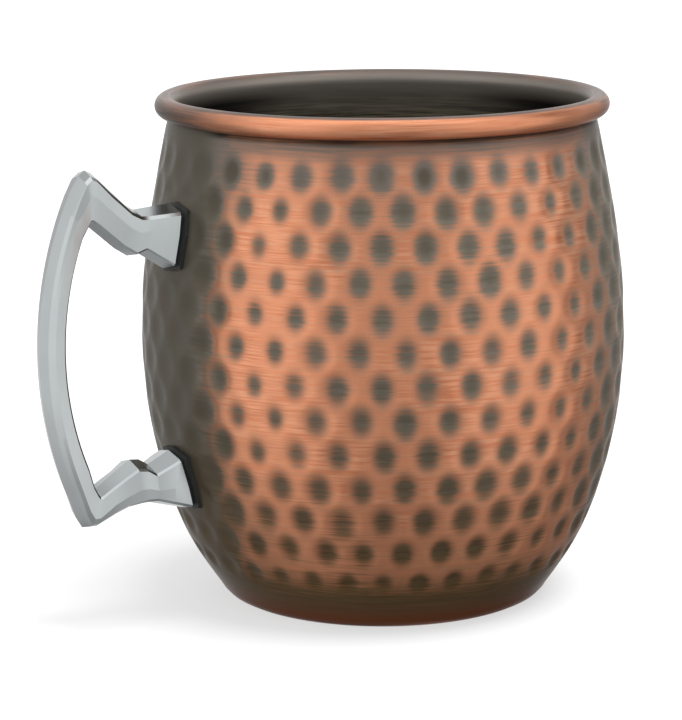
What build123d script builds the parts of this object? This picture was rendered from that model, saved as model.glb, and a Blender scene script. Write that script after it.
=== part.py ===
from build123d import *
import math
import os

os.makedirs("parts", exist_ok=True)

# ---------------------------------------------------------------------------
# Barrel-shaped drinking mug, hammered copper, with a cast metal handle.
# Millimetres. +Z up, origin at the centre of the resting base.
# The handle lies in the XZ plane and points along -X.
# ---------------------------------------------------------------------------

# Sheet and outer barrel profile, as (radius, height) up the outside.
sheet = 1.0
barrel_outside = [
    (32.9, 1.6),
    (35.2, 5.0),
    (38.4, 10.0),
    (42.8, 20.0),
    (45.6, 30.0),
    (47.3, 40.0),
    (48.0, 52.0),
    (47.4, 65.0),
    (46.1, 75.0),
    (44.3, 85.0),
    (42.3, 94.5),
]
base_lean = (0.50, 0.87)

# Base: a flat resting ring round a slightly raised centre.
rest_ring_outer = 30.8
rest_ring_inner = 28.0
base_recess = 1.0
base_recess_edge = 26.8
inside_corner_r = 29.9

# Rim: the sheet rolled outward into a hollow bead, its free edge tucked
# in under the bead close to the neck.
bead_radius = 2.1
bead_bore = bead_radius - sheet
bead_centre_r = 42.55
bead_centre_z = 97.9
curl_start = 180.0
curl_end = -92.0

# Fixings of each handle foot: thin gasket between foot and wall, dome-head
# screw from inside, sealing washer under its head.
upper_foot_z = 75.0
lower_foot_z = 28.0
gasket_thickness = 0.7
gasket_margin = 0.2
gasket_reach = 9.0
gasket_hole = 4.4
wall_hole = 4.6
screw_diameter = 4.0
screw_grip = 4.0
tapped_hole = 4.2
tapped_depth = 4.8
head_diameter = 7.6
head_height = 2.3
head_edge = 0.6
dome_rise = head_height - head_edge
dome_radius = ((head_diameter / 2) ** 2 + dome_rise**2) / (2 * dome_rise)
dome_sag = dome_radius - math.sqrt(dome_radius**2 - (head_diameter / 4) ** 2)
tip_chamfer = 0.4
socket_across = 2.5
socket_depth = 1.4
washer_diameter = 9.4
washer_thickness = 1.3

# Handle: the outer edge of the grip is an arc about the mug's axis and the
# inner edge a slightly tighter arc, so the grip is thinnest half way up.
grip_outer_arc = 74.0
grip_outer_mid = 73.6
grip_outer_mid_z = 54.0
grip_inner_arc = 62.0
grip_inner_mid = 70.3
grip_inner_mid_z = 55.0
grip_outer_ends = (81.5, 30.0)
grip_inner_ends = (77.0, 32.6)
grip_steps = 12
pad_bevel = 0.6

# Handle cross-section: half widths at the outer edge, the side ridge and the
# inner edge; crowns of the outer and inner faces; height of the side ridge
# as a share of the depth, from the outer edge.
grip_halves = (2.8, 4.0, 3.7)
arm_halves = (3.0, 4.3, 3.8)
neck_halves = (4.0, 4.9, 4.2)
foot_halves = (4.8, 5.5, 5.0)
grip_crowns = (0.8, 0.5)
arm_crowns = (0.8, 0.8)
foot_crowns = (1.1, 1.1)
bevel_halves = tuple(half - pad_bevel for half in foot_halves)
bevel_crowns = tuple(crown - pad_bevel / 4 for crown in foot_crowns)
grip_ridge = 0.30
arm_ridge = 0.42


def grip_outer(z):
    """Distance from the mug's axis to the grip's outer edge at height z."""
    drop = grip_outer_arc - math.sqrt(grip_outer_arc**2 - (z - grip_outer_mid_z) ** 2)
    return grip_outer_mid - drop


def grip_inner(z):
    """Distance from the mug's axis to the grip's inner edge at height z."""
    drop = grip_inner_arc - math.sqrt(grip_inner_arc**2 - (z - grip_inner_mid_z) ** 2)
    return grip_inner_mid - drop


def blend(a, b, share):
    """Values part of the way from a to b."""
    return tuple(p + (q - p) * share for p, q in zip(a, b))


def moved_square(points, distance):
    """Points of an open profile moved square to it, outward when positive."""
    moved = []
    for i, (r, z) in enumerate(points):
        before = points[max(i - 1, 0)]
        after = points[min(i + 1, len(points) - 1)]
        dr = after[0] - before[0]
        dz = after[1] - before[1]
        length = math.hypot(dr, dz)
        moved.append((r + distance * dz / length, z - distance * dr / length))
    return moved


def bead_point(radius, angle):
    """Point of the rolled rim at an angle round the bead's centre."""
    turn = math.radians(angle)
    return (bead_centre_r + radius * math.cos(turn), bead_centre_z + radius * math.sin(turn))


def wall_edge(offset):
    """Spline up the barrel wall, offset square from its outside, to the bead."""
    neck = (bead_centre_r - bead_bore + offset, bead_centre_z)
    return Spline(*moved_square(barrel_outside, offset), neck, tangents=(base_lean, (0, 1)))


def barrel_core(offset):
    """Solid of everything inside the barrel surface at that offset."""
    with BuildPart() as core:
        with BuildSketch(Plane.XZ):
            with BuildLine():
                edge = wall_edge(offset)
                Polyline(edge @ 1, (0, (edge @ 1).Y), (0, (edge @ 0).Y), edge @ 0)
            make_face()
        revolve(axis=Axis.Z)
    return core.part


def foot_seat(z):
    """Plane on the outside of the wall at height z, facing square outward."""
    pairs = zip(barrel_outside, barrel_outside[1:])
    low, high = next(pair for pair in pairs if pair[0][1] <= z <= pair[1][1])
    lean = (high[0] - low[0]) / (high[1] - low[1])
    radius = low[0] + lean * (z - low[1])
    return Plane(origin=(-radius, 0, z), x_dir=(0, 1, 0), z_dir=(-1, 0, -lean))


def cross_section(station, margin=0.0):
    """One cross-section of the handle, larger all round by margin."""
    outer_edge, inner_edge, halves, crowns, ridge = station
    out_x, in_x = -outer_edge[0], -inner_edge[0]
    out_z, in_z = outer_edge[1], inner_edge[1]
    depth = math.hypot(out_x - in_x, out_z - in_z)
    square = (out_z - in_z, 0, in_x - out_x)
    with BuildSketch(Plane(origin=(in_x, 0, in_z), x_dir=(0, 1, 0), z_dir=square)) as section:
        with BuildLine():
            Polyline(
                (0, depth + crowns[0] + margin),
                (halves[0] + margin, depth + margin),
                (halves[1] + margin, depth * (1 - ridge)),
                (halves[2] + margin, -margin),
                (0, -crowns[1] - margin),
            )
            mirror(about=Plane.YZ)
        make_face()
    return section.sketch


# ---------------------------------------------------------------------------
# Mug body: base, barrel wall and rolled rim in one sheet.
# ---------------------------------------------------------------------------
upper_seat = foot_seat(upper_foot_z)
lower_seat = foot_seat(lower_foot_z)
curl_middle = (curl_start + curl_end) / 2

with BuildPart() as mug_body:
    with BuildSketch(Plane.XZ):
        with BuildLine():
            outside = wall_edge(0)
            ThreePointArc(
                outside @ 1,
                bead_point(bead_bore, curl_middle),
                bead_point(bead_bore, curl_end),
            )
            Line(bead_point(bead_bore, curl_end), bead_point(bead_radius, curl_end))
            inside = wall_edge(-sheet)
            ThreePointArc(
                bead_point(bead_radius, curl_end),
                bead_point(bead_radius, curl_middle),
                inside @ 1,
            )
            Polyline(
                inside @ 0,
                (inside_corner_r, sheet),
                (rest_ring_inner, sheet),
                (base_recess_edge, base_recess + sheet),
                (0, base_recess + sheet),
                (0, base_recess),
                (base_recess_edge, base_recess),
                (rest_ring_inner, 0),
                (rest_ring_outer, 0),
                outside @ 0,
            )
        make_face()
    revolve(axis=Axis.Z)
    for seat in (upper_seat, lower_seat):
        with BuildSketch(seat):
            Circle(wall_hole / 2)
        extrude(amount=2 * sheet, both=True, mode=Mode.SUBTRACT)
mug_body.part.label = "mug_body"
export_step(mug_body.part, "parts/mug_body.step")

# ---------------------------------------------------------------------------
# Handle: one casting, lofted through cross-sections square to its length.
# A station is (outer edge, inner edge, half widths, crowns, ridge); each edge
# is (distance from the mug's axis, height).
# ---------------------------------------------------------------------------
upper_foot = [
    ((41.6, 79.9), (43.2, 70.5), bevel_halves, bevel_crowns, arm_ridge),
    ((45.8, 79.9), (47.4, 70.5), bevel_halves, bevel_crowns, arm_ridge),
    ((46.7, 80.5), (48.2, 70.3), foot_halves, foot_crowns, arm_ridge),
    ((52.6, 80.1), (53.6, 73.8), neck_halves, foot_crowns, arm_ridge),
    ((54.4, 80.2), (55.7, 73.1), neck_halves, arm_crowns, arm_ridge),
]
upper_arm = [
    ((56.2, 81.2), (58.2, 74.7), blend(neck_halves, arm_halves, 0.5), arm_crowns, arm_ridge),
    ((60.0, 84.8), (63.1, 79.0), arm_halves, arm_crowns, arm_ridge),
    ((63.0, 87.8), (64.1, 79.8), arm_halves, arm_crowns, arm_ridge),
    ((64.2, 88.4), (64.4, 79.9), arm_halves, arm_crowns, arm_ridge),
    ((65.4, 87.4), (64.7, 79.7), arm_halves, arm_crowns, arm_ridge),
    ((grip_outer(84.4), 84.4), (65.1, 78.9), arm_halves, arm_crowns, arm_ridge),
]
lower_arm = [
    ((grip_outer(26.6), 26.6), (65.2, 29.3), arm_halves, arm_crowns, grip_ridge),
    ((67.3, 23.4), (64.3, 27.5), arm_halves, arm_crowns, grip_ridge),
    ((66.2, 21.4), (63.9, 27.0), arm_halves, arm_crowns, grip_ridge),
    ((64.7, 21.4), (63.5, 27.1), arm_halves, arm_crowns, grip_ridge),
    ((60.6, 23.2), (61.6, 28.3), arm_halves, arm_crowns, arm_ridge),
    ((57.8, 24.2), (58.7, 30.0), arm_halves, foot_crowns, arm_ridge),
]
lower_foot = [
    ((55.6, 24.7), (56.2, 31.6), blend(neck_halves, arm_halves, 0.3), foot_crowns, arm_ridge),
    ((54.0, 24.9), (54.3, 31.4), neck_halves, foot_crowns, arm_ridge),
    ((52.2, 24.8), (52.4, 30.2), neck_halves, foot_crowns, arm_ridge),
    ((49.0, 23.9), (49.2, 31.8), foot_halves, foot_crowns, arm_ridge),
    ((45.3, 22.8), (47.7, 32.5), foot_halves, foot_crowns, arm_ridge),
    ((44.4, 23.3), (46.8, 32.3), bevel_halves, bevel_crowns, arm_ridge),
    ((40.2, 23.3), (42.6, 32.3), bevel_halves, bevel_crowns, arm_ridge),
]

grip = []
for step in range(grip_steps + 1):
    way = step / grip_steps
    outer_z, inner_z = blend((grip_outer_ends[0], grip_inner_ends[0]),
                             (grip_outer_ends[1], grip_inner_ends[1]), way)
    toward_ends = (2 * way - 1) ** 2
    grip.append((
        (grip_outer(outer_z), outer_z),
        (grip_inner(inner_z), inner_z),
        blend(grip_halves, arm_halves, toward_ends),
        grip_crowns,
        grip_ridge,
    ))

pad_core = barrel_core(gasket_thickness)

stations = upper_foot + upper_arm + grip + lower_arm + lower_foot

with BuildPart() as handle:
    loft([cross_section(station) for station in stations], ruled=True)
    add(pad_core, mode=Mode.SUBTRACT)
    for seat in (upper_seat, lower_seat):
        with BuildSketch(seat):
            Circle(tapped_hole / 2)
        extrude(amount=gasket_thickness + tapped_depth, mode=Mode.SUBTRACT)
handle.part.label = "handle"
export_step(handle.part, "parts/handle.step")

# ---------------------------------------------------------------------------
# Gasket, sealing washer and screw of each foot.
# ---------------------------------------------------------------------------
wall_core = barrel_core(0)
cup_core = barrel_core(-sheet)
feet = {
    "upper": (upper_seat, ((41.7, 80.5), (43.2, 69.9))),
    "lower": (lower_seat, ((40.2, 22.7), (42.6, 32.8))),
}

for foot, (seat, gasket_edges) in feet.items():
    outline = cross_section((*gasket_edges, foot_halves, foot_crowns, arm_ridge), gasket_margin)
    with BuildPart() as gasket:
        extrude(outline, amount=gasket_reach, dir=(-1, 0, 0))
        add(pad_core, mode=Mode.INTERSECT)
        add(wall_core, mode=Mode.SUBTRACT)
        with BuildSketch(seat):
            Circle(gasket_hole / 2)
        extrude(amount=3 * gasket_thickness, both=True, mode=Mode.SUBTRACT)
    gasket.part.label = f"{foot}_gasket"
    export_step(gasket.part, f"parts/{foot}_gasket.step")

    head_seat = -sheet - washer_thickness
    with BuildPart() as sealing_washer:
        with BuildSketch(seat.offset(head_seat)):
            Circle(washer_diameter / 2)
            Circle(wall_hole / 2, mode=Mode.SUBTRACT)
        extrude(amount=washer_thickness + sheet)
        add(cup_core, mode=Mode.INTERSECT)
    sealing_washer.part.label = f"{foot}_sealing_washer"
    export_step(sealing_washer.part, f"parts/{foot}_sealing_washer.step")

    profile_plane = Plane(seat.offset(head_seat).origin, x_dir=seat.z_dir, z_dir=(0, 1, 0))
    reach = gasket_thickness + screw_grip - head_seat
    with BuildPart() as screw:
        with BuildSketch(profile_plane):
            with BuildLine():
                dome = ThreePointArc(
                    (-head_height, 0),
                    (dome_sag - head_height, head_diameter / 4),
                    (-head_edge, head_diameter / 2),
                )
                Polyline(
                    dome @ 1,
                    (0, head_diameter / 2),
                    (0, screw_diameter / 2),
                    (reach - tip_chamfer, screw_diameter / 2),
                    (reach, screw_diameter / 2 - tip_chamfer),
                    (reach, 0),
                    dome @ 0,
                )
            make_face()
        revolve(axis=Axis(seat.origin, seat.z_dir))
        with BuildSketch(seat.offset(head_seat - head_height + socket_depth)):
            RegularPolygon(socket_across / 2, 6, major_radius=False)
        extrude(amount=-2 * socket_depth, mode=Mode.SUBTRACT)
    screw.part.label = f"{foot}_screw"
    export_step(screw.part, f"parts/{foot}_screw.step")
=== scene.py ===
"""Hammered antique-copper mug with a cast metal handle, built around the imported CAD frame."""

import math
import random

import bpy
import numpy as np
from mathutils import Euler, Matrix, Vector


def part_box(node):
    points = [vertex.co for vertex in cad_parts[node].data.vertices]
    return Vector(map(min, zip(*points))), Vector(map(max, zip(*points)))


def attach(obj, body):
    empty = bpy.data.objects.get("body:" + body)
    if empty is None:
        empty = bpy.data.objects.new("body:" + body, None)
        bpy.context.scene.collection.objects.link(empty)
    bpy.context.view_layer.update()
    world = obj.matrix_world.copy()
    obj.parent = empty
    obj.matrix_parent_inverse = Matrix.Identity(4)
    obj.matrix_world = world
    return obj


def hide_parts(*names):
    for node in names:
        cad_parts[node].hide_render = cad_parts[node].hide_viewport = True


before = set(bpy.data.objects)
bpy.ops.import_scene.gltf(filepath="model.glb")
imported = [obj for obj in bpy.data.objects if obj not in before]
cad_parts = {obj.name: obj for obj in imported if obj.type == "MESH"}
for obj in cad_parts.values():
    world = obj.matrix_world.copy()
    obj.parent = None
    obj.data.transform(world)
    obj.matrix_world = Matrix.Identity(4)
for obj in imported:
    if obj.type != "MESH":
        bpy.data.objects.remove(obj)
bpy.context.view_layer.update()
MM = 0.001
TURN = 2 * math.pi

# ---------------------------------------------------------------------------
# Driving sizes, in millimetres. The mug stands on z = 0, its handle along -X.
# ---------------------------------------------------------------------------
body_low, body_high = (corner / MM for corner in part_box("mug_body"))
MUG_HEIGHT = body_high.z
WIDEST_R = min(body_high.x, body_high.y, -body_low.y)
SHEET = 1.0

# Outside of the wall as (radius, height), from the base up to the rolled rim.
WALL = [
    (32.9, 1.6),
    (35.2, 5.0),
    (38.4, 10.0),
    (42.8, 20.0),
    (45.6, 30.0),
    (47.3, 40.0),
    (48.0, 52.0),
    (47.4, 65.0),
    (46.1, 75.0),
    (44.3, 85.0),
    (42.3, 94.5),
    (41.45, 97.9),
]
BASE_SLOPE = 0.575
NECK_SLOPE = 0.0
REST_OUTER, REST_INNER = 30.8, 28.0
RECESS, RECESS_R = 1.0, 26.8
INSIDE_CORNER_R = 29.9
BASE_EDGE = ((REST_OUTER + WALL[0][0]) / 2 + 0.15, 0.62)
BEAD_R = 2.1
BEAD_CENTRE = (42.55, MUG_HEIGHT - BEAD_R)
CURL_START, CURL_END = 180.0, -92.0

# How far past the neck's outline the outside goes, and how far short of its
# top the inside stops, where each runs into the bead.
OUTSIDE_OVERRUN, INSIDE_SHORTFALL = 1.6, 0.6

# Steps along the body's outline, and round it.
SEGMENTS = 432
WALL_STEP = 0.66
INSIDE_STEP = 2.6
BEAD_STEPS = 22
CURL_STEPS = 7
OUTLINE_SAMPLES = 1200
SLOPE_REACH = 0.05


def smooth(low, high, x):
    """0 below low, 1 above high, and an even rise between."""
    t = np.clip((np.asarray(x, float) - low) / (high - low), 0, 1)
    return t * t * (3 - 2 * t)


def cubic_through(points, start_slope, end_slope):
    """Radius as a smooth function of height through the outline's points."""
    r, z = np.array(points, float).T
    slopes = np.gradient(r, z)
    slopes[0], slopes[-1] = start_slope, end_slope

    def radius(height):
        i = np.clip(np.searchsorted(z, height) - 1, 0, len(z) - 2)
        span = z[i + 1] - z[i]
        t = (height - z[i]) / span
        a = (1 + 2 * t) * (1 - t) ** 2 * r[i] + t * (1 - t) ** 2 * span * slopes[i]
        b = t**2 * (3 - 2 * t) * r[i + 1] - t**2 * (1 - t) * span * slopes[i + 1]
        return np.minimum(a + b, WIDEST_R)

    return radius


wall_radius = cubic_through(WALL, BASE_SLOPE, NECK_SLOPE)


def wall_rows(low, high, step):
    """(radius, height, outward normal) at even steps up the wall."""
    fine = np.linspace(low, high, OUTLINE_SAMPLES)
    r = wall_radius(fine)
    along = np.concatenate([[0], np.cumsum(np.hypot(np.diff(r), np.diff(fine)))])
    count = int(round(along[-1] / step))
    z = np.interp(np.linspace(0, along[-1], count + 1), along, fine)
    r = wall_radius(z)
    lean = (wall_radius(z + SLOPE_REACH) - wall_radius(z - SLOPE_REACH)) / (2 * SLOPE_REACH)
    size = np.hypot(1, lean)
    return r, z, 1 / size, -lean / size


# ---------------------------------------------------------------------------
# Camera: its place, its turn in degrees, and its lens and sensor width in
# millimetres. CAMERA_SIDE is the side of the mug that it looks at.
# ---------------------------------------------------------------------------
CAMERA_AT = Vector((-281.4, -487.4, 163.45)) * MM
CAMERA_TURN = (78.229, 0.397, -29.229)
CAMERA_LENS = 143.51
CAMERA_SENSOR = 36.0
CAMERA_NEAR = 0.01
CAMERA_SIDE = math.atan2(CAMERA_AT.y, CAMERA_AT.x)

# ---------------------------------------------------------------------------
# Hammer marks: rows of round dimples, every second row shifted half a step.
# A half is (half width, half height). The lowest rows are smaller, and deeper
# for their size, and no mark is pressed under a handle foot.
# ---------------------------------------------------------------------------
COLUMNS = 36
ROWS = 13
TOP_ROW, ROW_STEP, ROW_STRETCH = 88.9, 6.35, 0.0139
ROW_REACH = 8
DIMPLE_DEPTH = 0.42
DIMPLE_HALF = (4.1, 4.3)
INSIDE_SHARE = 0.35
INSIDE_PLAIN_HEIGHTS = (86, 92)
SMALL_SIZE, SMALL_HEIGHTS = 0.7, (9, 26)
EXTRA_DEPTH, DEEP_HEIGHTS = 0.55, (14, 32)
PAD_FADE = 2.0

# The stain left in a mark, from its full middle to its edge, in halves.
STAIN_HALF = (2.35, 3.2)
STAIN_EDGE = (0.15, 1.62)
WORN_HEIGHTS = (26.0, 44.0)

# What differs from mark to mark, drawn evenly between two ends.
SEED = 11
MARK_SPREAD = {
    "turn": (-0.25, 0.25),
    "rise": (-0.25, 0.25),
    "depth": (0.82, 1.08),
    "size": (0.95, 1.05),
    "patina_and_shade": (0.84, 1.04),
}
chance = random.Random(SEED)
marks = [
    [{name: chance.uniform(*ends) for name, ends in MARK_SPREAD.items()} for _ in range(COLUMNS)]
    for _ in range(ROWS)
]
row_heights = [TOP_ROW - ROW_STEP * k - ROW_STRETCH * k * k for k in range(ROWS)]
row_size = [float(SMALL_SIZE + (1 - SMALL_SIZE) * smooth(*SMALL_HEIGHTS, z)) for z in row_heights]
row_depth = [
    size * (1 + EXTRA_DEPTH * float(1 - smooth(*DEEP_HEIGHTS, z)))
    for size, z in zip(row_size, row_heights)
]


def hammer_field(angle, z, worn_band):
    """Depth share and stain share of the hammer marks, on a grid of height by angle."""
    depth = np.zeros((len(z), len(angle)))
    stain = np.zeros_like(depth)
    pitch = TURN / COLUMNS
    arc = np.concatenate([[0], np.cumsum(np.hypot(np.diff(wall_radius(z)), np.diff(z)))])
    for k, height in enumerate(row_heights):
        near = np.abs(z - height) < ROW_REACH
        if not near.any():
            continue
        shift = pitch * (k % 2) / 2
        column = np.round((angle - shift) / pitch).astype(int) % COLUMNS
        row = [marks[k][c] for c in column]
        own = {name: np.array([mark[name] for mark in row])[None, :] for name in MARK_SPREAD}
        gap = (angle - shift - column * pitch + math.pi) % TURN - math.pi
        around = gap[None, :] * wall_radius(z[near])[:, None] - own["turn"]
        up = (arc[near] - np.interp(height, z, arc))[:, None] - own["rise"]
        size = row_size[k] * own["size"]
        from_middle = np.hypot(around / DIMPLE_HALF[0], up / DIMPLE_HALF[1]) / size
        dent = np.clip(1 - from_middle**2, 0, None) ** 2 * own["depth"] * row_depth[k]
        spot = np.hypot(around / STAIN_HALF[0], up / STAIN_HALF[1]) / size
        spot = spot * (1 + worn_band[None, :] * float(smooth(*WORN_HEIGHTS, height)))
        depth[near] = np.maximum(depth[near], dent)
        stain[near] = np.maximum(stain[near], (1 - smooth(*STAIN_EDGE, spot)) * own["patina_and_shade"])
    return depth, stain


def pads_cover(angle, z):
    """1 where a handle foot sits on the wall, falling to 0 just outside it."""
    from_handle = angle - math.pi
    cover = np.zeros((len(z), len(angle)))
    for node in ("upper_gasket", "lower_gasket"):
        low, high = (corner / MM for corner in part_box(node))
        across = np.abs(np.sin(from_handle))[None, :] * wall_radius(z)[:, None]
        beside = 1 - smooth(high.y, high.y + PAD_FADE, across)
        above = smooth(low.z - PAD_FADE, low.z, z) * (1 - smooth(high.z, high.z + PAD_FADE, z))
        facing = (np.cos(from_handle) > 0)[None, :]
        cover = np.maximum(cover, beside * above[:, None] * facing)
    return cover


# ---------------------------------------------------------------------------
# Patina and painted shade: 0 is rubbed bare, 1 is covered, and above 1 it darkens. It is heavier
# in three places: under the rim, as patina left where the finish can't be rubbed back, together
# with painted shade under the overhanging rim; towards the base, as painted shade; and round the
# handle, as patina together with painted shade on that side. The far side is darkened as painted
# shade. Bearings are in degrees round the mug from the camera's side, positive to its right, and
# heights are in millimetres. A pair is where a change starts and where it ends.
# ---------------------------------------------------------------------------
# Under the rim: patina together with painted shade from the overhanging rim.
RIM_SHADE, RIM_HEIGHTS = 0.58, (90.4, 94.6)
# The next two lines are painted shade, darker towards the base.
BASE_SHADE, BASE_HEIGHTS = 0.85, (3.5, 15.0)
LOW_WALL_SHADE, LOW_WALL_SHADE_HEIGHTS = 0.37, (8.0, 38.0)
BARREL_HAZE, BARREL_HAZE_HEIGHTS = 0.10, (58.0, 80.0)
NECK_HAZE, NECK_HAZE_HEIGHTS = 0.12, (80.0, 90.0)

# The dark side round the handle is heavier patina with painted shade on that side. Its front edge
# drifts right towards the base and spreads towards the rim. The far side has a lighter painted
# shade.
HANDLE_SHADE, HANDLE_FRONT, HANDLE_BACK = 1.35, (-54.0, -32.5), (-165.0, -104.0)
DRIFT, DRIFT_HEIGHTS = 1.2, (14.0, 52.0)
SPREAD, SPREAD_HEIGHTS = 9.0, (80.0, 93.0)
FAR_SHADE, FAR_FRONT, FAR_BACK = 0.85, (44.0, 75.0), (100.0, 150.0)

# Patches as (bearing, half width, strength): where stains are worn smaller,
# where they are darker, and where the lower wall is hazier.
WORN_PATCHES = ((-29, 11, 0.36), (47, 11, 0.30))
DARK_PATCHES = ((14, 14, 0.22), (-43, 8, 0.36))
# The far side's stains are darkened further as painted shade.
DARK_FAR, DARK_FAR_FRONT = 0.40, (52.0, 66.0)
HAZE_PATCHES = ((24, 14, 0.20), (-36, 9, 0.28))
HAZE_HEIGHTS = (22.0, 50.0)

# The bead, by the turn round its section, in degrees up from straight out. Its underside is
# darkened as painted shadow. Its side towards the handle carries patina with painted shade, and
# its far side carries painted shade.
BEAD_BARE = -0.16
BEAD_TOP, BEAD_TOP_TURN = 1.12, (42, 66)
BEAD_UNDER_SHADOW, BEAD_UNDER_SHADOW_TURN = 0.95, (-48, -95)
BEAD_INWARD_TURN = (120, 175)
BEAD_LEFT, BEAD_LEFT_FRONT, BEAD_LEFT_BACK = 0.90, (-64.0, -20.0), (-135.0, -108.0)
BEAD_RIGHT, BEAD_RIGHT_FRONT, BEAD_RIGHT_BACK = 0.75, (46.0, 80.0), (108.0, 140.0)

# The inside: painted light deep down, and painted shade low on the two sides.
INSIDE_PAINTED_LIGHT, INSIDE_PAINTED_LIGHT_HEIGHTS = 0.65, (90.0, 95.0)
INSIDE_PAINTED_SHADE, INSIDE_PAINTED_SHADE_HEIGHTS, INSIDE_PAINTED_SHADE_SIDES = 1.05, (93.5, 97.5), (0.30, 0.85)
UNDERSIDE_PATINA = 0.9

angles = np.linspace(0, TURN, SEGMENTS, endpoint=False)
from_camera = np.degrees((angles - CAMERA_SIDE + math.pi) % TURN - math.pi)


def patches(table):
    """Sum of soft patches over the bearings."""
    return sum(size * np.exp(-(((from_camera - at) / half) ** 2)) for at, half, size in table)


def wall_shade(z):
    """Patina and painted shade of the outside wall between the marks, on a grid of height by
    angle.
    """
    rim = RIM_SHADE * smooth(*RIM_HEIGHTS, z)
    # Painted shade, darker towards the base.
    base = BASE_SHADE * (1 - smooth(*BASE_HEIGHTS, z))
    base = base + LOW_WALL_SHADE * (1 - smooth(*LOW_WALL_SHADE_HEIGHTS, z))
    drift = DRIFT * (1 - smooth(*DRIFT_HEIGHTS, z))[:, None]
    spread = SPREAD * smooth(*SPREAD_HEIGHTS, z)[:, None]
    start, end = HANDLE_FRONT
    # Round the handle: patina with painted shade. On the far side: painted shade.
    handle_side = 1 - smooth(start - spread, end + spread, from_camera[None, :] - drift)
    handle_side = HANDLE_SHADE * handle_side * smooth(*HANDLE_BACK, from_camera)[None, :]
    far_side = FAR_SHADE * smooth(*FAR_FRONT, from_camera) * (1 - smooth(*FAR_BACK, from_camera))
    turned = np.maximum(handle_side, far_side[None, :])
    return np.maximum(np.maximum(rim, base)[:, None], turned)


def wall_patina_and_shade(stain, z):
    """Patina and painted shade of the outside wall with its stained marks, on a grid of height by
    angle.
    """
    shade = wall_shade(z)
    haze = BARREL_HAZE * smooth(*BARREL_HAZE_HEIGHTS, z)
    haze = haze + NECK_HAZE * smooth(*NECK_HAZE_HEIGHTS, z)
    total = stain + shade - stain * np.clip(shade, 0, 1) + haze[:, None]
    low_haze = patches(HAZE_PATCHES)[None, :] * (1 - smooth(*HAZE_HEIGHTS, z))[:, None]
    total += low_haze * (1 - np.clip(total, 0, 1))
    # Darker stains: painted shade on the far side, and the darker patches.
    darker = DARK_FAR * smooth(*DARK_FAR_FRONT, from_camera) + patches(DARK_PATCHES)
    return total + stain * darker


def bead_patina_and_shade(turn):
    """Patina and painted shade of the bead round the mug, at one turn round its section."""
    # The two sides: patina with painted shade towards the handle, and painted shade on the far
    # side.
    left = BEAD_LEFT * (1 - smooth(*BEAD_LEFT_FRONT, from_camera))
    left = left * smooth(*BEAD_LEFT_BACK, from_camera)
    right = BEAD_RIGHT * smooth(*BEAD_RIGHT_FRONT, from_camera)
    right = right * (1 - smooth(*BEAD_RIGHT_BACK, from_camera))
    bead_cover = BEAD_BARE + BEAD_TOP * smooth(*BEAD_TOP_TURN, turn)
    # The underside: painted shadow.
    bead_cover = bead_cover + BEAD_UNDER_SHADOW * smooth(*BEAD_UNDER_SHADOW_TURN, turn)
    return np.maximum(bead_cover, left + right)


def inside_light_and_shade(height):
    """Painted light and shade of the inside wall round the mug: 0 is black, 1.6 its full colour.
    """
    light = INSIDE_PAINTED_LIGHT * (1 - smooth(*INSIDE_PAINTED_LIGHT_HEIGHTS, height))
    sides = smooth(*INSIDE_PAINTED_SHADE_SIDES, np.abs(np.sin(np.radians(from_camera))))
    return 1 + light - (1 - smooth(*INSIDE_PAINTED_SHADE_HEIGHTS, height)) * INSIDE_PAINTED_SHADE * sides


# ---------------------------------------------------------------------------
# Mug body: one closed sheet turned round the axis, with the marks pressed in.
# Its rings run up the outside, in and back round the bead, down the inside,
# and back under the base.
# ---------------------------------------------------------------------------
loop_rows = []


def add_row(radius, height, patina_and_shade, inside=0.0):
    """One ring of the body; each value is a single number or one for each angle."""
    whole = np.ones(SEGMENTS)
    loop_rows.append((radius * whole, height * whole, patina_and_shade * whole, inside * whole))


def bead_point(turn, radius):
    """Radius and height of a point on the bead, turn degrees up from straight out."""
    a = math.radians(turn)
    return BEAD_CENTRE[0] + radius * math.cos(a), BEAD_CENTRE[1] + radius * math.sin(a)


worn_band = patches(WORN_PATCHES)
r, z, out_r, out_z = wall_rows(WALL[0][1], WALL[-2][1] + OUTSIDE_OVERRUN, WALL_STEP)
depth, stain = hammer_field(angles, z, worn_band)
depth = depth * DIMPLE_DEPTH * (1 - pads_cover(angles, z))
outside = wall_patina_and_shade(stain, z)
for j in range(len(z)):
    add_row(r[j] - out_r[j] * depth[j], z[j] - out_z[j] * depth[j], outside[j])

for turn in np.linspace(CURL_START, CURL_END, CURL_STEPS):
    add_row(*bead_point(turn, BEAD_R - SHEET), 1.0)
for turn in np.linspace(CURL_END, CURL_START, BEAD_STEPS):
    bead_cover = bead_patina_and_shade(turn)
    inward = float(smooth(*BEAD_INWARD_TURN, turn))
    add_row(*bead_point(turn, BEAD_R), bead_cover + (1.0 - bead_cover) * inward, inward)

r, z, out_r, out_z = wall_rows(WALL[0][1], WALL[-1][1] - INSIDE_SHORTFALL, INSIDE_STEP)
depth, _ = hammer_field(angles, z, worn_band)
depth = depth * DIMPLE_DEPTH * INSIDE_SHARE * (1 - smooth(*INSIDE_PLAIN_HEIGHTS, z))[:, None]
for j in reversed(range(len(z))):
    inner = SHEET + depth[j]
    add_row(r[j] - out_r[j] * inner, z[j] - out_z[j] * inner, inside_light_and_shade(z[j]), 1.0)
for radius, height in (
    (INSIDE_CORNER_R, SHEET),
    (REST_INNER, SHEET),
    (RECESS_R, RECESS + SHEET),
    (RECESS_R / 2, RECESS + SHEET),
):
    add_row(radius, height, 1.0, 1.0)
inside_rows = len(loop_rows)
for radius, height in (
    (RECESS_R / 2, RECESS),
    (RECESS_R, RECESS),
    (REST_INNER, 0.0),
    (REST_OUTER, 0.0),
    BASE_EDGE,
):
    add_row(radius, height, UNDERSIDE_PATINA)

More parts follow.
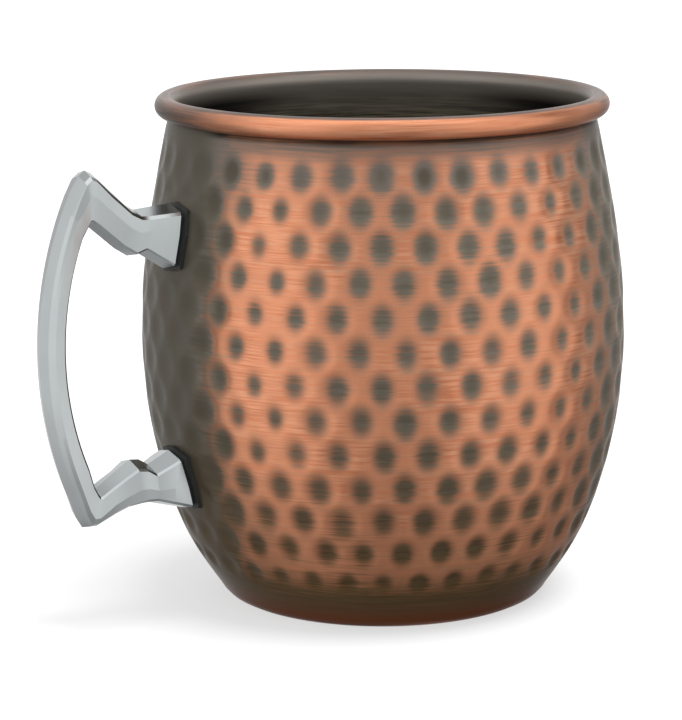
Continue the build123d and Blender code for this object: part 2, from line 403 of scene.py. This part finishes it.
radii, heights, patina_and_shade, inside = (np.array(x) for x in zip(*loop_rows))
ring_count = len(radii)
points = np.stack([radii * np.cos(angles), radii * np.sin(angles), heights], -1).reshape(-1, 3)


def ring_quads(first, last):
    """Quads between ring first and ring last of the body."""
    i = np.arange(SEGMENTS)
    j = (i + 1) % SEGMENTS
    a, b = first * SEGMENTS, last * SEGMENTS
    return np.stack([a + i, a + j, b + j, b + i], -1).tolist()


faces = []
for k in range(ring_count):
    if k != inside_rows - 1:
        faces += ring_quads(k, (k + 1) % ring_count)
top_centre, low_centre = len(points), len(points) + 1
points = np.vstack([points, [(0, 0, RECESS + SHEET), (0, 0, RECESS)]])
floor_ring, under_ring = (inside_rows - 1) * SEGMENTS, inside_rows * SEGMENTS
for i in range(SEGMENTS):
    j = (i + 1) % SEGMENTS
    faces.append((floor_ring + i, floor_ring + j, top_centre))
    faces.append((under_ring + j, under_ring + i, low_centre))


def make_mesh(name, verts, polys):
    """New smooth-shaded object from points in millimetres."""
    mesh = bpy.data.meshes.new(name)
    mesh.from_pydata([Vector(p) * MM for p in verts], [], polys)
    mesh.validate()
    mesh.update()
    mesh.shade_smooth()
    obj = bpy.data.objects.new(name, mesh)
    bpy.context.scene.collection.objects.link(obj)
    return obj


cup = make_mesh("hammered_cup", points, faces)
# This attribute holds patina together with painted shade outside, and painted light and shade
# inside.
for name, values, at_centres in (
    ("patina_and_shade", patina_and_shade, (1.0, UNDERSIDE_PATINA)),
    ("inside", inside, (1.0, 0.0)),
):
    layer = cup.data.attributes.new(name, "FLOAT", "POINT")
    layer.data.foreach_set("value", np.append(values.ravel(), at_centres).astype(np.float32))

# ---------------------------------------------------------------------------
# Handle: one casting with long flats and softened edges, in millimetres.
# A station is (outer edge, inner edge, half widths, crowns, ridge share):
# an edge is (distance out from the axis, height), the half widths are at the
# outer edge, the ridge and the inner edge, and the crowns are how far the
# outer and inner edges bulge. An arc is (radius, its farthest distance out
# from the axis, the height where it is that far out).
# ---------------------------------------------------------------------------
GRIP_OUTER = (74.0, 73.6, 54.0)
GRIP_INNER = (62.0, 70.3, 55.0)
GRIP_OUTER_ENDS = (81.5, 30.0)
GRIP_INNER_ENDS = (77.0, 32.6)
GRIP_STEPS = 28
GRIP_TOP, GRIP_FOOT = 84.4, 26.6
PAD_BEVEL = 0.6
GRIP_HALVES, ARM_HALVES = (2.8, 4.0, 3.7), (3.0, 4.3, 3.8)
NECK_HALVES, FOOT_HALVES = (4.0, 4.9, 4.5), (4.8, 5.5, 5.0)
GRIP_CROWNS, ARM_CROWNS, FOOT_CROWNS = (0.8, 0.5), (0.8, 0.8), (1.1, 1.1)
GRIP_RIDGE, ARM_RIDGE = 0.30, 0.42
bevel_halves = tuple(half - PAD_BEVEL for half in FOOT_HALVES)
bevel_crowns = tuple(crown - PAD_BEVEL / 4 for crown in FOOT_CROWNS)
GASKET = 0.7

# The facet along the outer edge, the chamfer of the inner edge, and the
# rounding of every edge that turns by more than EDGE_ANGLE degrees.
EDGE_FACET, EDGE_SHARE, EDGE_INSET = 0.6, 0.62, 0.1
INNER_CHAMFER = 0.42
EDGE_ROUND, EDGE_ROUND_STEPS, EDGE_ANGLE = 0.34, 3, 14


def on_arc(arc, z):
    """Distance from the axis of an edge of the grip at height z."""
    radius, middle, middle_z = arc
    return middle - radius + math.sqrt(radius**2 - (z - middle_z) ** 2)


def blend(a, b, share):
    """Values part of the way from a to b."""
    return tuple(p + (q - p) * share for p, q in zip(a, b))


upper_foot = [
    ((41.6, 79.9), (43.2, 70.5), bevel_halves, bevel_crowns, ARM_RIDGE),
    ((45.8, 79.9), (47.4, 70.5), bevel_halves, bevel_crowns, ARM_RIDGE),
    ((46.7, 80.5), (48.2, 70.3), FOOT_HALVES, FOOT_CROWNS, ARM_RIDGE),
    ((52.6, 80.1), (53.6, 73.8), NECK_HALVES, FOOT_CROWNS, ARM_RIDGE),
    ((54.4, 80.2), (55.7, 73.1), NECK_HALVES, ARM_CROWNS, ARM_RIDGE),
]
upper_arm = [
    ((56.2, 81.2), (58.2, 74.7), blend(NECK_HALVES, ARM_HALVES, 0.5), ARM_CROWNS, ARM_RIDGE),
    ((60.0, 84.8), (63.1, 79.0), ARM_HALVES, ARM_CROWNS, ARM_RIDGE),
    ((63.0, 87.8), (64.1, 79.8), ARM_HALVES, ARM_CROWNS, ARM_RIDGE),
    ((64.2, 88.4), (64.4, 79.9), ARM_HALVES, ARM_CROWNS, ARM_RIDGE),
    ((65.4, 87.4), (64.7, 79.7), ARM_HALVES, ARM_CROWNS, ARM_RIDGE),
    ((on_arc(GRIP_OUTER, GRIP_TOP), GRIP_TOP), (65.1, 78.9), ARM_HALVES, ARM_CROWNS, ARM_RIDGE),
]
lower_arm = [
    ((on_arc(GRIP_OUTER, GRIP_FOOT), GRIP_FOOT), (65.2, 29.3), ARM_HALVES, ARM_CROWNS, GRIP_RIDGE),
    ((67.3, 23.4), (64.3, 27.5), ARM_HALVES, ARM_CROWNS, GRIP_RIDGE),
    ((66.2, 21.4), (63.9, 27.0), ARM_HALVES, ARM_CROWNS, GRIP_RIDGE),
    ((64.7, 21.4), (63.5, 27.1), ARM_HALVES, ARM_CROWNS, GRIP_RIDGE),
    ((60.6, 23.2), (61.6, 28.3), ARM_HALVES, ARM_CROWNS, ARM_RIDGE),
    ((57.8, 24.2), (58.7, 30.0), ARM_HALVES, FOOT_CROWNS, ARM_RIDGE),
]
lower_foot = [
    ((55.6, 24.7), (56.2, 31.6), blend(NECK_HALVES, ARM_HALVES, 0.3), FOOT_CROWNS, ARM_RIDGE),
    ((54.0, 24.9), (54.3, 31.4), NECK_HALVES, FOOT_CROWNS, ARM_RIDGE),
    ((52.2, 24.8), (52.4, 30.2), NECK_HALVES, FOOT_CROWNS, ARM_RIDGE),
    ((49.0, 23.9), (49.2, 31.8), FOOT_HALVES, FOOT_CROWNS, ARM_RIDGE),
    ((45.3, 22.8), (47.7, 32.5), FOOT_HALVES, FOOT_CROWNS, ARM_RIDGE),
    ((44.4, 23.3), (46.8, 32.3), bevel_halves, bevel_crowns, ARM_RIDGE),
    ((40.2, 23.3), (42.6, 32.3), bevel_halves, bevel_crowns, ARM_RIDGE),
]
grip = []
for step in range(GRIP_STEPS + 1):
    way = step / GRIP_STEPS
    outer_z, inner_z = blend(*zip(GRIP_OUTER_ENDS, GRIP_INNER_ENDS), way)
    grip.append((
        (on_arc(GRIP_OUTER, outer_z), outer_z),
        (on_arc(GRIP_INNER, inner_z), inner_z),
        blend(GRIP_HALVES, ARM_HALVES, (2 * way - 1) ** 2),
        GRIP_CROWNS,
        GRIP_RIDGE,
    ))
stations = upper_foot + upper_arm + grip + lower_arm + lower_foot


def handle_ring(station):
    """Points round one cross-section, from the outer crown and back to it."""
    (out_x, out_z), (in_x, in_z), halves, crowns, ridge = station
    outer, inner = Vector((-out_x, 0, out_z)), Vector((-in_x, 0, in_z))
    depth = (outer - inner).length
    away = (outer - inner) / depth
    across = Vector((0, 1, 0))
    half_profile = [
        (halves[0] - EDGE_INSET, depth),
        (halves[0] + EDGE_SHARE * (halves[1] - halves[0]), depth - EDGE_FACET),
        (halves[1], depth * (1 - ridge)),
        (halves[2], INNER_CHAMFER),
        (halves[2] - INNER_CHAMFER, 0.0),
    ]
    one_side = [across * w + away * d for w, d in half_profile]
    other_side = [-across * w + away * d for w, d in reversed(half_profile)]
    ring = [away * (depth + crowns[0])] + one_side + [-away * crowns[1]] + other_side
    return [inner + p for p in ring]


def on_wall(point, gap):
    """The point carried along X onto the wall's surface, gap outside it."""
    reach = float(wall_radius(point.z)) + gap
    return Vector((-math.sqrt(reach**2 - point.y**2), point.y, point.z))


# The two end rings lie on the wall, a gasket's thickness outside it, and each
# end is closed with a ring half way in and a middle point.
rings = [handle_ring(s) for s in stations]
for k in (0, -1):
    rings[k] = [on_wall(p, GASKET) for p in rings[k]]
handle_points = [p for ring in rings for p in ring]
count = len(rings[0])
handle_faces = []
for k in range(len(rings) - 1):
    for i in range(count):
        j = (i + 1) % count
        a, b = k * count, (k + 1) * count
        handle_faces.append((a + i, b + i, b + j, a + j))
for k, flip in ((0, False), (len(rings) - 1, True)):
    middle = sum(rings[k], Vector()) / count
    shrunk = [on_wall(middle.lerp(p, 0.5), GASKET) for p in rings[k]]
    first = len(handle_points)
    handle_points += shrunk + [on_wall(middle, GASKET)]
    hub = first + count
    for i in range(count):
        j = (i + 1) % count
        quad = (k * count + i, k * count + j, first + j, first + i)
        tri = (first + i, first + j, hub)
        handle_faces.append(tuple(reversed(quad)) if flip else quad)
        handle_faces.append(tuple(reversed(tri)) if flip else tri)

handle = make_mesh("cast_handle", handle_points, handle_faces)
bevel = handle.modifiers.new("soft_edges", "BEVEL")
bevel.width = EDGE_ROUND * MM
bevel.segments = EDGE_ROUND_STEPS
bevel.limit_method = "ANGLE"
bevel.angle_limit = math.radians(EDGE_ANGLE)
flatten = handle.modifiers.new("even_faces", "WEIGHTED_NORMAL")
flatten.mode = "FACE_AREA"
flatten.weight = 50


# ---------------------------------------------------------------------------
# Materials, all procedural.
# ---------------------------------------------------------------------------
class Nodes:
    """Short calls for building one node tree."""

    def __init__(self, tree):
        self.tree = tree
        tree.nodes.clear()

    def add(self, kind, **settings):
        """A new node of that kind."""
        node = self.tree.nodes.new(kind)
        for key, value in settings.items():
            setattr(node, key, value)
        return node

    def link(self, source, target):
        """Feed a socket from another socket, or set it to a constant."""
        if hasattr(source, "links"):
            self.tree.links.new(source, target)
        else:
            target.default_value = source

    def math(self, operation, a, b=0.0, c=0.0):
        """One sum; a, b and c are sockets or numbers."""
        node = self.add("ShaderNodeMath", operation=operation)
        for value, socket in zip((a, b, c), node.inputs):
            self.link(value, socket)
        return node.outputs[0]

    def step(self, value, low, high, to_low=0.0, to_high=1.0):
        """An even rise from to_low to to_high as value goes from low to high."""
        node = self.add("ShaderNodeMapRange", interpolation_type="SMOOTHSTEP")
        names = ("Value", "From Min", "From Max", "To Min", "To Max")
        for key, given in zip(names, (value, low, high, to_low, to_high)):
            self.link(given, node.inputs[key])
        return node.outputs[0]

    def mix(self, share, a, b):
        """A colour between a and b."""
        node = self.add("ShaderNodeMix", data_type="RGBA")
        for value, socket in ((share, node.inputs[0]), (a, node.inputs[6]), (b, node.inputs[7])):
            self.link((*value, 1.0) if isinstance(value, tuple) else value, socket)
        return node.outputs[2]

    def blend(self, share, a, b):
        """A number between a and b."""
        node = self.add("ShaderNodeMix", data_type="FLOAT")
        for value, socket in ((share, node.inputs[0]), (a, node.inputs[2]), (b, node.inputs[3])):
            self.link(value, socket)
        return node.outputs[0]

    def attribute(self, name):
        """A value stored on the mesh's points."""
        return self.add("ShaderNodeAttribute", attribute_name=name).outputs["Fac"]

    def place(self, stretch):
        """Object coordinates in metres, stretched along each axis."""
        coords = self.add("ShaderNodeTexCoord").outputs["Object"]
        node = self.add("ShaderNodeMapping")
        self.link(coords, node.inputs["Vector"])
        node.inputs["Scale"].default_value = stretch
        return node.outputs[0]

    def noise(self, where, scale, detail, rough):
        """Fractal noise; where is its coordinates."""
        node = self.add("ShaderNodeTexNoise")
        self.link(where, node.inputs["Vector"])
        node.inputs["Scale"].default_value = scale
        node.inputs["Detail"].default_value = detail
        node.inputs["Roughness"].default_value = rough
        return node.outputs["Fac"]

    def bump(self, height, strength, distance):
        """A normal tilted by a height; distance is in metres."""
        node = self.add("ShaderNodeBump")
        self.link(height, node.inputs["Height"])
        node.inputs["Strength"].default_value = strength
        node.inputs["Distance"].default_value = distance
        return node.outputs[0]

    def surface(self, **sockets):
        """A principled surface as the material's output."""
        shader = self.add("ShaderNodeBsdfPrincipled")
        for key, value in sockets.items():
            target = shader.inputs[key.replace("_", " ")]
            self.link((*value, 1.0) if isinstance(value, tuple) else value, target)
        out = self.add("ShaderNodeOutputMaterial")
        self.tree.links.new(shader.outputs[0], out.inputs["Surface"])


UNSTRETCHED = (1, 1, 1)


def new_material(name):
    """An empty node material and the short calls for building it."""
    material = bpy.data.materials.new(name)
    material.use_nodes = True
    return material, Nodes(material.node_tree)


# Brush lines, fine and coarse, as stretches of noise along each axis, and
# softer clouds. Each share is how far they move the edge of the patina, which
# runs from bare to covered over COVER_RANGE. BAREST runs down to the palest.
FINE_STRETCH, FINE_SHARE = (75, 75, 2700), 0.90
COARSE_STRETCH, COARSE_SHARE = (60, 60, 1100), 0.32
CLOUD_SCALE, CLOUD_SHARE = 60, 0.45
COVER_RANGE = (-0.16, 1.06)
BAREST = (0.0, -0.14)

# Bare copper, covered copper and the inside.
METAL_BARE, METAL_COVERED, METAL_INSIDE = 0.97, 0.30, 0.55
ROUGH_BARE, ROUGH_COVERED, ROUGH_LINES = 0.35, 0.37, 0.16

# Copper colours: brush lines from dull to bright, softer clouds between them,
# and the barest places.
COPPER_LINES = ((0.65, 0.238, 0.122), (0.93, 0.425, 0.245))
COPPER_CLOUD = (0.80, 0.33, 0.18)
COPPER_BARE = (0.96, 0.40, 0.22)

# Patina colours, from the foot of the wall to the top of the bead. Some of them stand for painted
# shade. The browns and the red at the foot are painted shade, darker towards the base. The
# near-black just under the bead is painted shadow. The darkest pair holds heavy patina in the
# marks and the painted shade round the handle and on the far side. Each zone starts and ends at
# two heights in metres. A pair of colours is the dark and the light of its streaks.
OLIVE = ((0.114, 0.098, 0.074), (0.158, 0.137, 0.108))
# The brown of the lower wall stands for painted shade.
BROWN = ((0.068, 0.038, 0.013), (0.106, 0.062, 0.024))
BROWN_TO_OLIVE = (0.004, 0.058)
NECK_GREY, NECK_ZONE = (0.175, 0.150, 0.128), (0.080, 0.094)
# Near-black just under the bead: painted shadow.
UNDER_BEAD_SHADOW, UNDER_BEAD_SHADOW_ZONE = (0.02, 0.017, 0.012), (0.0943, 0.0953)
# The darkest pair: heavy patina in the marks, and painted shade round the handle and on the far
# side.
HEAVY_AND_SHADED_LOW, HEAVY_AND_SHADED_HIGH, HEAVY_AND_SHADED_ZONE = (0.086, 0.060, 0.032), (0.096, 0.082, 0.060), (0.008, 0.050)
HEAVY_AND_SHADED_RANGE = (0.95, 1.42)
BEAD_TOP_MAUVE, BEAD_TOP_ZONE = (0.085, 0.068, 0.060), (0.0970, 0.0996)
# Red-brown at the foot: painted shade.
FOOT_RED, FOOT_ZONE = (0.12, 0.030, 0.006), (0.0075, 0.0)

# Inside colours.
INSIDE_LINES = ((0.062, 0.056, 0.038), (0.300, 0.268, 0.195))
INSIDE_TOP, INSIDE_TOP_ZONE = (0.385, 0.345, 0.305), (0.0895, 0.0980)
# Range of the inside's painted light and shade.
INSIDE_LIGHT_AND_SHADE_RANGE = (0.0, 1.6)
BLACK = (0.0, 0.0, 0.0)


def antique_copper():
    """Copper rubbed back over a dark patina, with fine brush lines round the mug, and painted
    shade and painted light in its colours.
    """
    material, n = new_material("antique_copper")
    fine = n.noise(n.place(FINE_STRETCH), 1.0, 3.0, 0.66)
    coarse = n.noise(n.place(COARSE_STRETCH), 1.0, 3.0, 0.6)
    cloud = n.noise(n.place(UNSTRETCHED), CLOUD_SCALE, 4.0, 0.6)
    inside = n.attribute("inside")
    # This attribute holds patina together with painted shade outside, and painted light and shade
    # inside.
    patina_and_shade = n.attribute("patina_and_shade")
    place = n.add("ShaderNodeSeparateXYZ")
    n.link(n.place(UNSTRETCHED), place.inputs[0])
    rise = place.outputs["Z"]

    streaks = n.math("MULTIPLY", n.math("SUBTRACT", fine, 0.5), FINE_SHARE)
    streaks = n.math("MULTIPLY_ADD", n.math("SUBTRACT", coarse, 0.5), COARSE_SHARE, streaks)
    streaks = n.math("MULTIPLY_ADD", n.math("SUBTRACT", cloud, 0.5), CLOUD_SHARE, streaks)
    cover = n.step(n.math("ADD", patina_and_shade, streaks), *COVER_RANGE)

    bright = n.mix(n.step(fine, 0.34, 0.66), *COPPER_LINES)
    bright = n.mix(n.step(cloud, 0.35, 0.7), bright, COPPER_CLOUD)
    bright = n.mix(n.step(patina_and_shade, *BAREST), bright, COPPER_BARE)

    olive = n.mix(n.step(coarse, 0.3, 0.7), *OLIVE)
    # Brown towards the base: painted shade.
    brown = n.mix(n.step(coarse, 0.3, 0.7), *BROWN)
    dark = n.mix(n.step(rise, *BROWN_TO_OLIVE), brown, olive)
    dark = n.mix(n.step(rise, *NECK_ZONE), dark, NECK_GREY)
    # Near-black just under the bead: painted shadow.
    dark = n.mix(n.step(rise, *UNDER_BEAD_SHADOW_ZONE), dark, UNDER_BEAD_SHADOW)
    heavy_and_shaded = n.mix(n.step(rise, *HEAVY_AND_SHADED_ZONE), HEAVY_AND_SHADED_LOW, HEAVY_AND_SHADED_HIGH)
    # Darkest: heavy patina in the marks, and painted shade round the handle and on the far side.
    dark = n.mix(n.step(patina_and_shade, *HEAVY_AND_SHADED_RANGE), dark, heavy_and_shaded)
    dark = n.mix(n.step(rise, *BEAD_TOP_ZONE), dark, BEAD_TOP_MAUVE)
    # Red-brown at the foot: painted shade.
    dark = n.mix(n.step(rise, *FOOT_ZONE), dark, FOOT_RED)

    lines = n.math("MULTIPLY_ADD", coarse, 0.6, n.math("MULTIPLY", fine, 0.4))
    cup_dark = n.mix(n.step(lines, 0.36, 0.64), *INSIDE_LINES)
    cup_dark = n.mix(n.step(rise, *INSIDE_TOP_ZONE), cup_dark, INSIDE_TOP)
    # Inside: painted light deep down and painted shade low on the sides.
    cup_dark = n.mix(n.step(patina_and_shade, *INSIDE_LIGHT_AND_SHADE_RANGE), BLACK, cup_dark)

    metal = n.blend(inside, n.blend(cover, METAL_BARE, METAL_COVERED), METAL_INSIDE)
    rough = n.blend(cover, ROUGH_BARE, ROUGH_COVERED)
    rough = n.math("MULTIPLY_ADD", n.math("SUBTRACT", fine, 0.5), ROUGH_LINES, rough)
    tangent = n.add("ShaderNodeTangent", direction_type="RADIAL", axis="Z")
    n.surface(
        Base_Color=n.mix(inside, n.mix(cover, bright, dark), cup_dark),
        Metallic=metal,
        Roughness=rough,
        Specular_IOR_Level=0.13,
        Anisotropic=0.55,
        Anisotropic_Rotation=0.25,
        Tangent=tangent.outputs[0],
        Normal=n.bump(fine, 0.10, 0.00005),
    )
    return material


def satin_metal(name, tone, shade, roughness, grain):
    """Polished casting with faint buffing marks and small shade changes."""
    material, n = new_material(name)
    buff = n.noise(n.place((grain, grain, grain * 0.12)), 1.0, 4.0, 0.6)
    cloud = n.noise(n.place(UNSTRETCHED), 55, 3.0, 0.5)
    colour = n.mix(n.step(cloud, 0.3, 0.7), shade, tone)
    rough = n.math("MULTIPLY_ADD", n.math("SUBTRACT", buff, 0.5), 0.10, roughness)
    n.surface(
        Base_Color=colour,
        Metallic=1.0,
        Roughness=rough,
        Normal=n.bump(buff, 0.06, 0.00002),
    )
    return material


def soft_seal(name, tone, shade, roughness, clear=0.0):
    """Moulded rubber or silicone with a fine dull grain."""
    material, n = new_material(name)
    grain = n.noise(n.place(UNSTRETCHED), 2600, 3.0, 0.6)
    cloud = n.noise(n.place(UNSTRETCHED), 260, 3.0, 0.6)
    uneven = n.math("MULTIPLY", n.math("SUBTRACT", grain, 0.5), 0.2)
    n.surface(
        Base_Color=n.mix(n.step(cloud, 0.3, 0.7), shade, tone),
        Roughness=n.math("ADD", roughness, uneven),
        Subsurface_Weight=clear,
        Subsurface_Scale=0.002,
        Normal=n.bump(grain, 0.25, 0.00005),
    )
    return material


def dress(obj, material):
    """Give the object that one material."""
    obj.data.materials.clear()
    obj.data.materials.append(material)


copper = antique_copper()
handle_metal = satin_metal("handle_satin", (0.54, 0.57, 0.575), (0.49, 0.52, 0.527), 0.20, 1500)
steel = satin_metal("screw_steel_brushed", (0.62, 0.61, 0.59), (0.45, 0.44, 0.43), 0.28, 2600)
rubber = soft_seal("gasket_black", (0.012, 0.013, 0.012), (0.022, 0.023, 0.022), 0.55)
silicone = soft_seal("washer_dark", (0.10, 0.10, 0.10), (0.075, 0.075, 0.075), 0.42, 0.25)

dress(cup, copper)
dress(handle, handle_metal)
for foot in ("upper", "lower"):
    dress(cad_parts[f"{foot}_gasket"], rubber)
    dress(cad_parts[f"{foot}_screw"], steel)
    dress(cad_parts[f"{foot}_sealing_washer"], silicone)

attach(cup, "root")
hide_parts("mug_body")
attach(handle, "root")
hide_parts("handle")

# ---------------------------------------------------------------------------
# Stage: pale floor, a studio dome of brighter and darker bands, and one soft
# sun for the shadow.
# ---------------------------------------------------------------------------
FLOOR_HALF = 4.0
CORNERS = ((-1, -1), (1, -1), (1, 1), (-1, 1))
floor_mesh = bpy.data.meshes.new("studio_floor")
corners = [(x * FLOOR_HALF, y * FLOOR_HALF, 0.0) for x, y in CORNERS]
floor_mesh.from_pydata(corners, [], [(0, 1, 2, 3)])
floor = bpy.data.objects.new("studio_floor", floor_mesh)
bpy.context.scene.collection.objects.link(floor)
floor_paint, n = new_material("floor_white")
n.surface(
    Base_Color=(0.27, 0.27, 0.275),
    Roughness=0.9,
    Specular_IOR_Level=0.0,
    Emission_Color=(1.0, 1.0, 1.0),
    Emission_Strength=0.62,
)
dress(floor, floor_paint)
floor.visible_glossy = False
floor.visible_diffuse = False

world = bpy.data.worlds.new("studio_dome")
bpy.context.scene.world = world
world.use_nodes = True
n = Nodes(world.node_tree)
direction = n.add("ShaderNodeTexCoord").outputs["Generated"]
axes = n.add("ShaderNodeSeparateXYZ")
n.link(direction, axes.inputs[0])
bearing = n.math("ARCTAN2", axes.outputs["Y"], axes.outputs["X"])
bearing = n.math("SUBTRACT", bearing, CAMERA_SIDE)
bearing = n.math("WRAP", bearing, math.pi, -math.pi)
height = axes.outputs["Z"]


def band(low, low_soft, high, high_soft):
    """1 between two bearings from the camera's side, in degrees, with soft ends."""
    start = [math.radians(low - low_soft), math.radians(low + low_soft)]
    end = [math.radians(high - high_soft), math.radians(high + high_soft)]
    rise = n.step(bearing, *start)
    fall = n.step(bearing, *end, 1.0, 0.0)
    return n.math("MULTIPLY", rise, fall)


# Upright bands of light, as (level, start, its softness, end, its softness).
LIGHT_BANDS = (
    (0.85, -400, 4, -160, 7),
    (0.50, -160, 7, -122, 8),
    (0.80, -122, 8, -84, 5),
    (0.98, -84, 5, -28, 14),
    (0.58, -28, 14, 36, 14),
    (0.90, 36, 14, 94, 13),
    (0.26, 94, 13, 158, 8),
    (0.85, 158, 8, 400, 4),
)
DIM_LEVEL = 0.10
OVERHEAD_LEVEL, OVERHEAD_HEIGHTS = 0.58, (0.70, 0.95)
FLOOR_BOUNCE, FLOOR_HEIGHTS = 0.44, (-0.9, -0.15)

glow = DIM_LEVEL
for level, low, low_soft, high, high_soft in LIGHT_BANDS:
    glow = n.math("MULTIPLY_ADD", band(low, low_soft, high, high_soft), level, glow)
below = n.step(height, *FLOOR_HEIGHTS, FLOOR_BOUNCE, 1.0)
above = n.step(height, *OVERHEAD_HEIGHTS)
side_light = n.math("MULTIPLY", glow, below)
dome = n.math("MULTIPLY_ADD", above, OVERHEAD_LEVEL, side_light)
seen = n.add("ShaderNodeLightPath").outputs["Is Camera Ray"]
strength = n.blend(seen, dome, 1.0)
background = n.add("ShaderNodeBackground")
n.link((1.0, 1.0, 1.0, 1.0), background.inputs["Color"])
n.link(strength, background.inputs["Strength"])
world_out = n.add("ShaderNodeOutputWorld")
world.node_tree.links.new(background.outputs[0], world_out.inputs["Surface"])

KEY_BEARING = CAMERA_SIDE + math.radians(78)
KEY_HEIGHT = math.radians(75)
KEY_SOFTNESS = math.radians(38)
KEY_POWER = 5.0
key = bpy.data.lights.new("soft_key", "SUN")
key.angle = KEY_SOFTNESS
key.energy = KEY_POWER
key_obj = bpy.data.objects.new("soft_key", key)
bpy.context.scene.collection.objects.link(key_obj)
key_from = Vector((
    math.cos(KEY_BEARING) * math.cos(KEY_HEIGHT),
    math.sin(KEY_BEARING) * math.cos(KEY_HEIGHT),
    math.sin(KEY_HEIGHT),
))
key_obj.rotation_euler = key_from.to_track_quat("Z", "Y").to_euler()
key_obj.visible_glossy = False

camera = bpy.data.cameras.new("camera")
camera.lens = CAMERA_LENS
camera.sensor_width = CAMERA_SENSOR
camera.clip_start = CAMERA_NEAR
camera_obj = bpy.data.objects.new("camera", camera)
bpy.context.scene.collection.objects.link(camera_obj)
camera_obj.location = CAMERA_AT
camera_obj.rotation_euler = Euler([math.radians(a) for a in CAMERA_TURN])
bpy.context.scene.camera = camera_obj
bpy.context.scene.view_settings.view_transform = "Standard"
